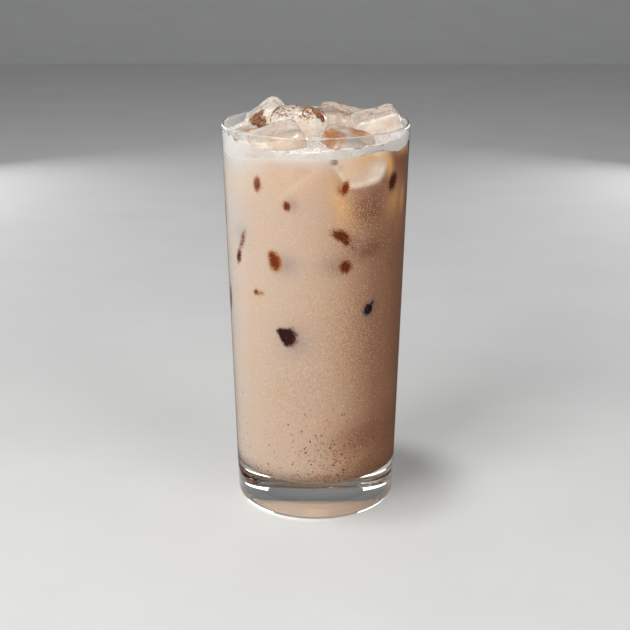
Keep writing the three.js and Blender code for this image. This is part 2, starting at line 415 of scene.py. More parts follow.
class WallPlane:
    """Vertices seen on the unrolled wall: direction in degrees from the front, height in mm."""

    def __init__(self, places):
        self.along = np.degrees(np.arctan2(places[:, 0], -places[:, 1]))
        self.height = places[:, 2] / MM
        near = np.hypot(places[:, 0], places[:, 1]) / inner_radius(places[:, 2])
        self.on_wall = smooth_step(near, 0.8, 0.95)

    def offsets(self, direction, height):
        turn = (self.along - direction + 180) % 360 - 180
        return np.radians(turn) * inner_radius(height * MM) / MM, self.height - height

    def ellipse(self, direction, height, half_width, half_height, tilt):
        """Distance from the centre of a tilted ellipse, 1 on its outline."""
        x, y = self.offsets(direction, height)
        c, s = math.cos(math.radians(tilt)), math.sin(math.radians(tilt))
        return np.hypot((x * c + y * s) / half_width, (y * c - x * s) / half_height)

    def soft_areas(self, areas):
        total = np.zeros(len(self.height))
        for direction, height, half_width, half_height, tilt, strength in areas:
            distance = self.ellipse(direction, height, half_width, half_height, tilt)
            total = np.maximum(total, strength * np.exp(-(distance ** 2) * 0.8))
        return total * self.on_wall

    def polygon(self, corners, soft):
        """1 inside a convex outline whose corners run anticlockwise, fading over a distance."""
        middle = np.mean(corners, axis=0)
        x, y = self.offsets(*middle)
        points = []
        for direction, height in corners:
            across = math.radians(direction - middle[0]) * inner_radius(height * MM) / MM
            points.append((across, height - middle[1]))
        inside = np.full(len(x), 1e9)
        for (x1, y1), (x2, y2) in zip(points, points[1:] + points[:1]):
            length = math.hypot(x2 - x1, y2 - y1)
            inside = np.minimum(inside, ((x2 - x1) * (y - y1) - (y2 - y1) * (x - x1)) / length)
        return smooth_step(inside, -soft, soft)


def add_mark(dark, red, mark, redness):
    red[:] = np.where(mark > dark, redness, red)
    dark[:] = np.maximum(dark, mark)


def add_haze(wall, haze, middle, width, amount):
    """A soft round haze; its middle is a direction and height, then how far right and up of it."""
    at, height, right, up = middle
    x, y = wall.offsets(at, height)
    away = np.hypot((x - right) / width, (y - up) / width)
    haze[:] = np.maximum(haze, amount * np.exp(-away ** 2) * wall.on_wall)


def add_touches(wall, dark, red, haze):
    """Dark touches of ice at the wall, how red each is, and the haze beside them."""
    draw = np.random.default_rng(7)
    touches = list(ICE_TOUCHES)
    for i in range(BACK_TOUCHES):
        direction = 95 + 170 * (i + draw.uniform(0.2, 0.8)) / BACK_TOUCHES
        size = draw.uniform(0.9, 2.6)
        height = draw.uniform(72, 143)
        shape = (size, size * draw.uniform(0.8, 2.2), draw.uniform(-30, 30))
        tone = (draw.uniform(0.7, 1.0), draw.uniform(0.0, 1.0))
        beside = (draw.uniform(-4, 4), draw.uniform(-2, 2), size * 1.6)
        touches.append((direction, height, *shape, *tone, *beside))
    for at, height, half_width, half_height, tilt, darkness, redness, haze_x, haze_y, haze_width in touches:
        distance = wall.ellipse(at, height, half_width, half_height, tilt)
        mark = darkness * np.exp(-0.75 * distance ** 2) * wall.on_wall
        add_mark(dark, red, mark, redness)
        add_haze(wall, haze, (at, height, haze_x, haze_y), haze_width, 0.8 * darkness)


def add_corner_touch(wall, dark, red, haze):
    """The touch of a cube's corner: straight along its top and lower left, round and soft on the right."""
    at, height, size, haze_x, haze_y, haze_width = CORNER_TOUCH
    x, y = wall.offsets(at, height)
    x, y = x / size, y / size
    straight = np.minimum(0.88 * x + 0.47 * y + 0.44, 0.66 - y)
    edges = np.minimum(straight, 0.82 - np.hypot(x - 0.02, y))
    feather = smooth_step(x, 0.0, 0.8)
    mark = smooth_step(edges, -0.12 - 0.4 * feather, 0.32 + 0.3 * feather) * wall.on_wall
    add_mark(dark, red, mark, 0.12)
    add_haze(wall, haze, (at, height, haze_x, haze_y), haze_width, 0.65)


def froth_field(places, wall, pale):
    """Froth that hangs in the drink under the foam: deep at the left, almost none at the right."""
    depth = foam_line(places[:, 0], places[:, 1]) - places[:, 2]
    at, width = DEEPER_AT
    left = np.exp(-((wall.along - at) / width) ** 2)
    uneven = FROTH_UNEVEN * slow_noise(places, 7 * MM, 3)
    froth_depth = (FROTH_DEPTH + uneven + FROTH_DEEPER * left) * MM
    froth = np.exp(-np.clip(depth, 0, None) / froth_depth) * wall.on_wall * (1 - 0.6 * pale)
    right = smooth_step(wall.along, 40, 56) * smooth_step(wall.along, 110, 85)
    return froth * (1 - 0.85 * right)


def keep_drink_fields(obj):
    places = vertex_places(obj)
    wall = WallPlane(places)
    dark, red, haze = (np.zeros(len(places)) for _ in range(3))
    add_touches(wall, dark, red, haze)
    add_corner_touch(wall, dark, red, haze)
    pale = wall.polygon(PALE_CUBE, 0.8)
    fields = {
        "touch_dark": dark,
        "touch_red": red,
        "touch_haze": haze,
        "pale_cube": pale * wall.on_wall,
        "froth": froth_field(places, wall, pale),
        # golden holds a painted glow, brown painted shade and lilac a painted reflection, each in part, and
        # gleam painted highlights
        "golden": wall.soft_areas(GOLDEN_AND_GLOW_AREAS),
        "golden_cube": wall.soft_areas(GOLDEN_CUBE_AREAS) * pale,
        "brown": wall.soft_areas(BROWN_AND_SHADE_AREAS) * (1 - pale),
        "lilac": wall.soft_areas(LILAC_AND_SHEEN_AREAS),
        "bubbly": wall.soft_areas(BUBBLE_AREAS),
        "gleam": wall.soft_areas(PAINTED_GLEAMS),
    }
    for name, values in fields.items():
        keep_values(obj, name, values)


def near_spots(places, spots, fade):
    """Nearness to the named spots: a wavy edge at each radius, fading over a share of it."""
    total = np.zeros(len(places))
    wave = 0.35 * slow_noise(places, 2.2 * MM, 13) + 0.15 * slow_noise(places, 0.9 * MM, 14)
    for centre, radius, amount in spots:
        distance = np.linalg.norm(places / MM - np.array(centre), axis=1) / radius + wave
        total = np.maximum(total, amount * smooth_step(distance, 1 + fade, 1 - fade))
    return total


def keep_ice_fields(obj, node):
    places = vertex_places(obj)
    soaked_share = ICE_LOOKS[node][2]
    cloud = slow_noise(places, 6 * MM, 1)
    low = smooth_step(places[:, 2] / MM + 3 * cloud, *TEA_FADES)
    tea = np.clip(soaked_share * (0.35 * low + 0.5 * smooth_step(cloud, 0.0, 0.35)), 0, 1)
    tea = np.maximum(tea, near_spots(places, SOAKED, 0.55))
    stain = near_spots(places, WET_SPICE, 0.3) * (0.8 + 0.5 * slow_noise(places, 1.3 * MM, 2))
    keep_values(obj, "soaked", tea)
    keep_values(obj, "wet_spice", np.clip(stain, 0, 1))


# Materials
class Nodes:
    """A material's node tree, with short calls for the nodes that the materials share."""

    def __init__(self, name):
        self.material = bpy.data.materials.new(name)
        self.material.use_nodes = True
        self.tree = self.material.node_tree
        self.bsdf = self.tree.nodes["Principled BSDF"]
        self.output = self.tree.nodes["Material Output"]
        self.place = self.tree.nodes.new("ShaderNodeTexCoord").outputs["Object"]

    def set(self, **values):
        for key, value in values.items():
            self.bsdf.inputs[key.replace("_", " ")].default_value = value

    def link(self, source, target):
        self.tree.links.new(source, target)

    def feed(self, value, socket):
        """Links another node's output to a socket, or sets its number or colour."""
        if isinstance(value, bpy.types.NodeSocket):
            self.link(value, socket)
        elif isinstance(value, (int, float)):
            socket.default_value = value
        else:
            socket.default_value = (*value, 1)

    def noise(self, size, detail=3, roughness=0.5, distortion=0.0):
        node = self.tree.nodes.new("ShaderNodeTexNoise")
        node.inputs["Scale"].default_value = 1 / size
        node.inputs["Detail"].default_value = detail
        node.inputs["Roughness"].default_value = roughness
        node.inputs["Distortion"].default_value = distortion
        self.link(self.place, node.inputs["Vector"])
        return node.outputs["Fac"]

    def cells(self, size):
        node = self.tree.nodes.new("ShaderNodeTexVoronoi")
        node.inputs["Scale"].default_value = 1 / size
        self.link(self.place, node.inputs["Vector"])
        return node

    def ramp(self, source, stops):
        node = self.tree.nodes.new("ShaderNodeValToRGB")
        elements = node.color_ramp.elements
        while len(elements) < len(stops):
            elements.new(0.5)
        for element, (position, colour) in zip(elements, stops):
            element.position = position
            element.color = (*colour, 1)
        self.link(source, node.inputs["Fac"])
        return node.outputs["Color"]

    def scaled(self, source, low, high, to_low=0.0, to_high=1.0):
        node = self.tree.nodes.new("ShaderNodeMapRange")
        node.inputs["From Min"].default_value = low
        node.inputs["From Max"].default_value = high
        node.inputs["To Min"].default_value = to_low
        node.inputs["To Max"].default_value = to_high
        self.link(source, node.inputs["Value"])
        return node.outputs["Result"]

    def mix(self, amount, first, second):
        node = self.tree.nodes.new("ShaderNodeMix")
        node.data_type = "RGBA"
        self.feed(amount, node.inputs[0])
        self.feed(first, node.inputs[6])
        self.feed(second, node.inputs[7])
        return node.outputs[2]

    def tinted(self, amount, colour, tint):
        """A colour multiplied by a tint, as far as the amount says."""
        node = self.tree.nodes.new("ShaderNodeVectorMath")
        node.operation = "MULTIPLY"
        self.link(colour, node.inputs[0])
        node.inputs[1].default_value = tint
        return self.mix(amount, colour, node.outputs["Vector"])

    def math(self, operation, first, second):
        node = self.tree.nodes.new("ShaderNodeMath")
        node.operation = operation
        self.feed(first, node.inputs[0])
        self.feed(second, node.inputs[1])
        return node.outputs["Value"]

    def along(self, direction):
        """Distance from the axis towards a direction given in degrees from the front."""
        node = self.tree.nodes.new("ShaderNodeVectorMath")
        node.operation = "DOT_PRODUCT"
        turn = math.radians(direction)
        node.inputs[1].default_value = (math.sin(turn), -math.cos(turn), 0)
        self.link(self.place, node.inputs[0])
        return node.outputs["Value"]

    def dots(self, spacing, radius, amount, share):
        """Small round dots, one to a cell at most, where an amount from 0 to 1 allows them."""
        cells = self.cells(spacing)
        split = self.tree.nodes.new("ShaderNodeSeparateColor")
        self.link(cells.outputs["Color"], split.inputs["Color"])
        chosen = self.math("LESS_THAN", split.outputs["Red"], self.math("MULTIPLY", amount, share))
        return self.math("MULTIPLY", chosen, self.scaled(cells.outputs["Distance"], radius, 0.5 * radius))

    def stored(self, name):
        node = self.tree.nodes.new("ShaderNodeAttribute")
        node.attribute_name = name
        return node.outputs["Fac"]

    def bump(self, height, strength, distance):
        node = self.tree.nodes.new("ShaderNodeBump")
        node.inputs["Strength"].default_value = strength
        node.inputs["Distance"].default_value = distance
        self.link(height, node.inputs["Height"])
        self.link(node.outputs["Normal"], self.bsdf.inputs["Normal"])

    def lets_lamps_through(self, tint):
        """Light from lamps passes the surface, tinted, so that what it holds is lit."""
        path = self.tree.nodes.new("ShaderNodeLightPath")
        clear = self.tree.nodes.new("ShaderNodeBsdfTransparent")
        clear.inputs["Color"].default_value = (*tint, 1)
        mixer = self.tree.nodes.new("ShaderNodeMixShader")
        self.link(path.outputs["Is Shadow Ray"], mixer.inputs[0])
        self.link(self.bsdf.outputs["BSDF"], mixer.inputs[1])
        self.link(clear.outputs["BSDF"], mixer.inputs[2])
        self.link(mixer.outputs["Shader"], self.output.inputs["Surface"])


def glass_material():
    n = Nodes("clear_glass")
    n.set(Base_Color=(0.985, 0.995, 0.99, 1), Transmission_Weight=1.0, IOR=1.5)
    n.link(n.scaled(n.noise(9 * MM, 2), 0.4, 0.7, 0.0, 0.012), n.bsdf.inputs["Roughness"])
    n.bump(n.noise(24 * MM, 1), 0.04, 0.4 * MM)
    n.lets_lamps_through((0.95, 0.97, 0.96))
    return n.material


def drink_tone_and_painted_shade(n, across):
    """The drink's colour from its milky side to its dark side, with slow swirls: milk and tea, and painted
    shade that grows towards the side away from the light.
    """
    # Painted light and shade: the ramp is palest on the lit side and darkest at the shaded edge
    base = n.ramp(n.scaled(across, -1, 1), [
        (0.05, (0.88, 0.78, 0.70)),
        (0.146, (0.78, 0.645, 0.545)),
        (0.257, (0.685, 0.525, 0.42)),
        (0.396, (0.60, 0.44, 0.335)),
        (0.517, (0.55, 0.395, 0.30)),
        (0.63, (0.525, 0.365, 0.265)),
        (0.735, (0.485, 0.315, 0.21)),
        (0.815, (0.41, 0.23, 0.145)),
        (0.872, (0.34, 0.175, 0.105)),
        (0.924, (0.335, 0.165, 0.095)),
        (0.97, (0.29, 0.13, 0.075)),
        (1.0, (0.20, 0.085, 0.05)),
    ])
    swirl = n.scaled(n.noise(24 * MM, 3, 0.5, 1.2), 0.42, 0.68)
    return n.tinted(n.math("MULTIPLY", swirl, 0.6), base, (1.03, 0.96, 0.88))


def drink_areas(n, colour):
    """The soft areas at the wall, laid over each other in this order, then fine grain: the brown is partly
    painted shade, the golden partly a painted glow, the gleams painted highlights and the lilac partly a
    painted reflection.
    """
    paints = [
        # Partly painted shade
        ("brown", 0.85, (0.235, 0.085, 0.05)),
        # Partly a painted glow of light through the drink at its right edge
        ("golden", 0.85, (0.95, 0.50, 0.18)),
        ("pale_cube", 0.92, (0.72, 0.505, 0.37)),
        ("golden_cube", 0.9, (0.74, 0.44, 0.19)),
        # Painted highlights
        ("gleam", 0.95, (1.0, 0.86, 0.72)),
    ]
    for field, strength, paint in paints:
        colour = n.mix(n.math("MULTIPLY", n.stored(field), strength), colour, paint)
    # Partly a painted cool reflection at the left edge
    colour = n.tinted(n.stored("lilac"), colour, (0.88, 0.96, 1.05))
    colour = n.tinted(n.stored("touch_haze"), colour, (0.66, 0.67, 0.73))
    grain = n.scaled(n.noise(0.62 * MM, 2, 0.7), 0.40, 0.62)
    grainy = n.scaled(n.stored("bubbly"), 0, 1, 0.25, 0.9)
    return n.tinted(n.math("MULTIPLY", grain, grainy), colour, (0.64, 0.55, 0.50))


def touch_edge(n):
    """The dark touches with a ragged outline: 0 beside a touch, higher towards its middle."""
    ragged = n.scaled(n.noise(0.8 * MM, 4, 0.7), 0.3, 0.7, -0.22, 0.22)
    ragged = n.math("MULTIPLY", ragged, n.scaled(n.stored("touch_dark"), 0, 0.3))
    return n.math("ADD", n.stored("touch_dark"), ragged)


def drink_touches(n, colour, edge):
    """Each dark touch has a dark core inside a brown fringe; small glints lie over both."""
    fringe = n.mix(n.stored("touch_red"), (0.23, 0.14, 0.13), (0.42, 0.165, 0.06))
    core = n.mix(n.stored("touch_red"), (0.005, 0.002, 0.002), (0.165, 0.028, 0.006))
    colour = n.mix(n.scaled(edge, 0.08, 0.38), colour, fringe)
    colour = n.mix(n.scaled(edge, 0.28, 0.64), colour, core)
    glints = n.dots(0.52 * MM, 0.34, n.stored("bubbly"), 0.8)
    glints = n.math("MULTIPLY", glints, n.scaled(edge, 0.1, 0.5, 0.8, 0.2))
    return n.mix(glints, colour, (0.92, 0.66, 0.43))


def drink_material():
    n = Nodes("milk_tea_drink")
    # across runs from the lit milky side to the side painted darkest
    across = n.math("MULTIPLY", n.along(DARK_SIDE), 1 / RIM_RADIUS)
    edge = touch_edge(n)
    colour = drink_touches(n, drink_areas(n, drink_tone_and_painted_shade(n, across)), edge)
    # Painted shade: the froth under the foam is also darker towards the side away from the light
    froth = n.mix(n.scaled(across, -0.9, -0.2), (0.82, 0.75, 0.69), (0.67, 0.59, 0.535))
    colour = n.mix(n.math("MULTIPLY", n.stored("froth"), 0.9), colour, froth)
    n.link(colour, n.bsdf.inputs["Base Color"])
    n.link(n.scaled(edge, 0.1, 0.5, 0.12, 0.0), n.bsdf.inputs["Subsurface Weight"])
    n.set(Roughness=0.14, Specular_IOR_Level=0.12, Subsurface_Scale=1.0, IOR=1.34)
    n.set(Subsurface_Radius=(2 * MM, 1.2 * MM, 0.8 * MM))
    return n.material


def foam_material():
    n = Nodes("milk_foam_bubbles")
    cloud = n.scaled(n.noise(7 * MM, 3), 0.3, 0.7)
    colour = n.mix(cloud, (0.63, 0.56, 0.51), (0.71, 0.65, 0.61))
    # Painted light: the foam is painted paler towards +X and -X, its left and right sides from the front
    painted_light_at_sides = n.math("ABSOLUTE", n.math("MULTIPLY", n.along(90), 1 / RIM_RADIUS), 0)
    colour = n.mix(n.scaled(painted_light_at_sides, 0.60, 0.92), colour, (0.92, 0.88, 0.86))
    colour = n.tinted(n.scaled(n.noise(0.6 * MM, 3, 0.7), 0.42, 0.62), colour, (0.90, 0.86, 0.83))
    n.link(colour, n.bsdf.inputs["Base Color"])
    n.set(Roughness=0.4, Specular_IOR_Level=0.2, Subsurface_Weight=0.4, Subsurface_Scale=1.0, IOR=1.34)
    n.set(Subsurface_Radius=(2 * MM, 1.6 * MM, 1.4 * MM))
    bubbles = n.cells(0.7 * MM)
    n.bump(bubbles.outputs["Distance"], 0.6, 0.3 * MM)
    return n.material


def bubble_material():
    n = Nodes("bubble_skins")
    n.link(n.mix(n.scaled(n.noise(1.2 * MM, 2), 0.3, 0.7), (0.66, 0.56, 0.50), (0.80, 0.76, 0.73)),
           n.bsdf.inputs["Base Color"])
    n.set(Roughness=0.18, Subsurface_Weight=0.3, Subsurface_Scale=1.0, IOR=1.34, Coat_Weight=0.5)
    n.set(Subsurface_Radius=(1 * MM, 0.9 * MM, 0.8 * MM))
    n.bump(n.noise(0.5 * MM, 2), 0.1, 0.1 * MM)
    return n.material


def ice_material(node):
    frost, milky, _ = ICE_LOOKS[node]
    n = Nodes("wet_" + node)
    cloud = n.scaled(n.noise(6 * MM, 4, 0.6, 0.8), 0.38, 0.66)
    clear = n.mix(cloud, (0.97, 0.95, 0.905), (0.93, 0.83, 0.69))
    colour = n.mix(n.stored("soaked"), clear, (0.47, 0.19, 0.06))
    spice = n.stored("wet_spice")
    colour = n.mix(spice, colour, (0.13, 0.035, 0.012))
    n.link(colour, n.bsdf.inputs["Base Color"])
    clearness = n.scaled(cloud, 0, 1, 1 - 0.5 * milky, 1 - milky)
    clearness = n.math("MULTIPLY", clearness, n.scaled(spice, 0, 1, 1.0, 0.25))
    clearness = n.math("MULTIPLY", clearness, n.scaled(n.stored("soaked"), 0, 1, 1.0, 0.5))
    n.link(clearness, n.bsdf.inputs["Transmission Weight"])
    frosted = n.scaled(n.noise(3.5 * MM, 4, 0.6), 0.42, 0.65, 0.02, 0.02 + frost)
    n.link(frosted, n.bsdf.inputs["Roughness"])
    n.set(IOR=1.31, Subsurface_Weight=0.5, Subsurface_Scale=1.0, Coat_Weight=0.6, Coat_Roughness=0.03)
    n.set(Subsurface_Radius=(3 * MM, 2.6 * MM, 2.4 * MM))
    n.bump(n.noise(2.2 * MM, 3), 0.25, 0.4 * MM)
    n.lets_lamps_through((0.80, 0.78, 0.76))
    return n.material


def spice_material():
    n = Nodes("spice_grains")
    colour = n.ramp(n.noise(0.9 * MM, 2), [
        (0.35, (0.095, 0.026, 0.009)),
        (0.5, (0.24, 0.078, 0.025)),
        (0.65, (0.44, 0.20, 0.08)),
    ])
    n.link(colour, n.bsdf.inputs["Base Color"])
    n.set(Roughness=0.75)
    n.bump(n.noise(0.25 * MM, 3), 0.4, 0.1 * MM)
    return n.material


# Pieces
def make_glass():
    slope = math.degrees(math.atan((RIM_RADIUS - BASE_RADIUS) / GLASS_HEIGHT))
    lip = WALL_AT_RIM / 2
    lip_z = GLASS_HEIGHT - lip
    heel_r = outer_radius(HEEL_RADIUS) - HEEL_RADIUS
    sphere = (PUNT_RADIUS ** 2 + PUNT_HEIGHT ** 2) / (2 * PUNT_HEIGHT)
    spread = math.degrees(math.asin(PUNT_RADIUS / sphere))
    outside = arc(0, PUNT_HEIGHT - sphere, sphere, 90, 90 - spread, 14)
    outside += arc(heel_r, HEEL_RADIUS, HEEL_RADIUS, -90, -slope, 12)
    outside += [(outer_radius(z), z) for z in np.linspace(HEEL_RADIUS, lip_z, 14)[1:-1]]
    rim = arc(outer_radius(lip_z) - lip, lip_z, lip, -slope, 180, 14)
    inside = inside_profile(np.linspace(CORNER_TOP, lip_z - lip, 13)[1:], 0)
    obj = turned("glass", outside + rim + inside[::-1], GLASS_SIDES)
    obj.data.materials.append(glass_material())
    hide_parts("glass_tumbler")
    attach(obj, "root")


def copy_of_node(node, name):
    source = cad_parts[node]
    obj = bpy.data.objects.new(name, source.data.copy())
    bpy.context.scene.collection.objects.link(obj)
    obj.data.materials.clear()
    return obj


def apply_modifiers(obj):
    deps = bpy.context.evaluated_depsgraph_get()
    mesh = bpy.data.meshes.new_from_object(obj.evaluated_get(deps))
    old = obj.data
    obj.modifiers.clear()
    obj.data = mesh
    bpy.data.meshes.remove(old)


def weld(obj):
    bm = bmesh.new()
    bm.from_mesh(obj.data)
    bmesh.ops.remove_doubles(bm, verts=bm.verts, dist=1e-6)
    bmesh.ops.recalc_face_normals(bm, faces=bm.faces)
    bm.to_mesh(obj.data)
    bm.free()


def make_ice(node, index):
    """A wet cube: the frame's cube, rounded by remeshing and dented by slow noise."""
    obj = copy_of_node(node, "wet_" + node)
    weld(obj)
    remesh = obj.modifiers.new("remesh", "REMESH")
    remesh.mode = "VOXEL"
    remesh.voxel_size = ICE_VOXEL
    smooth = obj.modifiers.new("smooth", "SMOOTH")
    smooth.iterations = ICE_SMOOTHING
    smooth.factor = 0.5
    apply_modifiers(obj)
    places = vertex_places(obj)
    normals = vertex_normals(obj)
    dents_from = Vector((index * 7.3, 0, 0))
    ripples_from = Vector((0, index * 3.1, 0))
    dents = np.array([noise.noise(Vector(p) / DENT_SIZE + dents_from) for p in places])
    ripples = np.array([noise.noise(Vector(p) / RIPPLE_SIZE + ripples_from) for p in places])
    shift = (DENT_DEPTH * dents + RIPPLE_DEPTH * ripples - MELTED) * MM
    set_places(obj, places + normals * shift[:, None])
    shade_smooth(obj)
    keep_ice_fields(obj, node)
    obj.data.materials.append(ice_material(node))
    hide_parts(node)
    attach(obj, "root")
    return obj


def shrunk(obj, distance):
    copy = bpy.data.objects.new("cutter", obj.data.copy())
    bpy.context.scene.collection.objects.link(copy)
    set_places(copy, vertex_places(obj) - vertex_normals(obj) * distance)
    return copy


def cut_round(obj, cutters):
    for cutter in cutters:
        cut = obj.modifiers.new("cut", "BOOLEAN")
        cut.operation = "DIFFERENCE"
        cut.solver = "MANIFOLD"
        cut.object = cutter
    apply_modifiers(obj)
    shade_smooth(obj)


def make_drink(cutters):
    """The drink up to the foam's underside; its wall is drawn up and down with that line."""
    plain = np.arange(CORNER_TOP + PLAIN_STEP, MARKS_FROM - 0.5 * PLAIN_STEP, PLAIN_STEP)
    fine = np.linspace(MARKS_FROM, FOAM_LINE, round((FOAM_LINE - MARKS_FROM) / FINE_STEP))
    profile = inside_profile([*plain, *fine], INTO_GLASS)
    edge_r = profile[-1][0]
    profile.insert(-1, (edge_r, FOAM_LINE - 0.05 * MM))
    profile += [(edge_r * share, FOAM_LINE) for share in (0.998, *np.linspace(1, 0, 14)[1:])]
    obj = turned("drink", profile, CONTENT_SIDES)
    places = vertex_places(obj)
    stretch_from = FOAM_LINE - 20 * MM
    drawn = np.clip((places[:, 2] - stretch_from) / (FOAM_LINE - stretch_from), 0, 1)
    places[:, 2] += drawn * (foam_line(places[:, 0], places[:, 1]) - FOAM_LINE)
    set_places(obj, places)
    cut_round(obj, cutters)
    keep_drink_fields(obj)
    obj.data.materials.clear()
    obj.data.materials.append(drink_material())
    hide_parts("milk_tea")
    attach(obj, "root")
    return obj


def froth_climb(directions):
    """How far the froth climbs the wall above the foam, for directions in degrees."""
    climb = np.full(len(directions), FROTH_CLIMB)
    for at, width, rise in FROTH_CLIMBS:
        turn = (directions - at + 180) % 360 - 180
        climb += rise * np.exp(-((turn / width) ** 2))
    return climb * MM


def make_foam(cutters):
    """Froth with a bubbly top that climbs the wall, and a ragged lower edge lapped over the drink."""
    edge_r = float(inner_radius(FOAM_TOP)) + 1.3 * INTO_GLASS
    # The rings of the top lie closer at the wall, where the froth climbs
    top_rings = [*np.linspace(0, 0.955, 56), 0.968, 0.98, 0.988, 0.994, 0.998, 1.0]
    profile = [(edge_r * share, 0) for share in (0, 0.2, 0.4, 0.6, 0.8, 0.9, 0.97, 0.996, 1.0)]
    profile += [(edge_r, share) for share in (0.03, 0.2, 0.4, 0.6, 0.8, 0.97)]
    profile += [(edge_r * share, 1) for share in top_rings[::-1]]
    obj = turned("foam", profile, CONTENT_SIDES)
    places = vertex_places(obj)
    up = places[:, 2].copy()
    x, y = places[:, 0], places[:, 1]
    from_wall = edge_r - np.hypot(x, y)
    climb = froth_climb(np.degrees(np.arctan2(x, -y))) * (1 + 0.5 * slow_noise(places, 3 * MM, 8))
    bumps = 0.30 * slow_noise(places, 2.4 * MM, 9) + 0.16 * slow_noise(places, 0.9 * MM, 10)
    top = foam_top(x, y) + bumps * MM + climb * np.exp(-from_wall / FROTH_REACH)
    ragged = 0.30 * slow_noise(places, 2.6 * MM, 5) + 0.22 * slow_noise(places, 1.1 * MM, 6)
    low = foam_line(x, y) - (FOAM_LAP - ragged) * MM
    places[:, 2] = low + up * (top - low)
    radii = np.hypot(places[:, 0], places[:, 1])
    at_wall = np.abs(radii - edge_r) < 1e-6
    # Along a ragged line the foam comes out in front of the drink
    reach = 0.4 + 0.9 * smooth_step(up + 0.4 * ragged, 0.0, 0.3)
    follow = (inner_radius(places[:, 2]) + reach * INTO_GLASS) / edge_r
    places[at_wall, :2] *= follow[at_wall, None]
    set_places(obj, places)
    cut_round(obj, cutters)
    obj.data.materials.clear()
    obj.data.materials.append(foam_material())
    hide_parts("milk_foam")
    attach(obj, "root")
    return obj


# Scattered grains and bubbles
def round_grain(rings, sides):
    """A unit ball of few faces, as vertices and triangles."""
    verts = [(0, 0, -1)]
    for i in range(1, rings):
        angle = math.pi * i / rings - math.pi / 2
        verts += [(math.cos(angle) * math.cos(2 * math.pi * (j + 0.5 * i) / sides),
                   math.cos(angle) * math.sin(2 * math.pi * (j + 0.5 * i) / sides),
                   math.sin(angle)) for j in range(sides)]
    verts.append((0, 0, 1))
    last = len(verts) - 1
    faces = []
    for j in range(sides):
        k = (j + 1) % sides
        faces.append((0, 1 + k, 1 + j))
        for i in range(rings - 2):
            low, high = 1 + i * sides, 1 + (i + 1) * sides
            faces += [(low + j, low + k, high + j), (low + k, high + k, high + j)]
        top = 1 + (rings - 2) * sides
        faces.append((last, top + j, top + k))
    return np.array(verts), np.array(faces)


def scattered(name, shape, places, normals, radii, flatness, uneven, draw):
    """One mesh of many balls: each has its place, normal, radius, flatness and uneven outline."""
    ball, faces = shape
    count = len(places)
    normals = normals / np.linalg.norm(normals, axis=1)[:, None]
    helper = np.where(np.abs(normals[:, 2:]) < 0.9, [[0, 0, 1]], [[1, 0, 0]])
    first = np.cross(normals, helper)
    first /= np.linalg.norm(first, axis=1)[:, None]
    second = np.cross(normals, first)
    spin = draw.uniform(0, 2 * math.pi, count)[:, None]
    across = first * np.cos(spin) + second * np.sin(spin)
    along = np.cross(normals, across)
    stretch = draw.uniform(1 - uneven, 1 + uneven, (count, 2))
    jitter = 1 + draw.uniform(-0.5 * uneven, 0.5 * uneven, (count, len(ball)))
    shape_x = ball[None, :, 0] * (radii * stretch[:, 0])[:, None] * jitter
    shape_y = ball[None, :, 1] * (radii * stretch[:, 1])[:, None] * jitter
    shape_z = ball[None, :, 2] * (radii * flatness)[:, None] * jitter
    verts = (places[:, None, :] + shape_x[..., None] * across[:, None, :]
             + shape_y[..., None] * along[:, None, :] + shape_z[..., None] * normals[:, None, :])
    all_faces = faces[None] + (np.arange(count) * len(ball))[:, None, None]
    return mesh_object(name, verts.reshape(-1, 3).tolist(), all_faces.reshape(-1, 3).tolist())


def faces_of(obj):
    count = len(obj.data.polygons)
    centres, normals = np.empty(count * 3), np.empty(count * 3)
    areas = np.empty(count)
    obj.data.polygons.foreach_get("center", centres)
    obj.data.polygons.foreach_get("normal", normals)
    obj.data.polygons.foreach_get("area", areas)
    return centres.reshape(-1, 3), normals.reshape(-1, 3), areas


def drawn_on(obj, density, count, draw):
    """Places and normals drawn over an object's faces by a density that is a rule of both."""
    centres, normals, areas = faces_of(obj)
    weights = areas * density(centres, normals)
    picked = draw.choice(len(centres), count, p=weights / weights.sum())
    side = np.sqrt(areas[picked])[:, None]
    shift = draw.uniform(-0.5, 0.5, (count, 3)) * side
    shift -= normals[picked] * np.sum(shift * normals[picked], axis=1)[:, None]
    return centres[picked] + shift, normals[picked]


def drawn_radii(rule, count, draw):
    """Most are near the middle radius, few are large."""
    middle, spread, smallest, largest = rule
    return draw.lognormal(math.log(middle), spread, count).clip(smallest, largest) * MM


def clumps(places, size, seed):
    """Uneven cover: from almost none to thick, in patches of a size."""
    patches = slow_noise(places, size, seed) + 0.5 * slow_noise(places, 0.4 * size, seed + 1)
    return smooth_step(patches, -0.05, 0.55)


def spice_on_ice(node):
    """Where the powder lies on a cube: its upper faces, thick where the named spots are."""
    share, dusting = SPICE_SHARES[node]
    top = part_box(node)[1].z

    def density(centres, normals):
        upper = smooth_step(normals[:, 2], -0.2, 0.7)
        ridge = smooth_step(centres[:, 2] / MM, top / MM - 7.5, top / MM - 1.0)
        above = centres[:, 2] > FOAM_TOP + 0.8 * MM
        patches = (0.2 + clumps(centres, 1.5 * MM, 21)) * (0.12 + clumps(centres, 5 * MM, 23))
        cover = share * upper * ridge * patches
        cover += dusting * upper * (0.3 + clumps(centres, 2.5 * MM, 25))
        return above * (cover + 2.2 * near_spots(centres, WET_SPICE, 0.3))

    return density


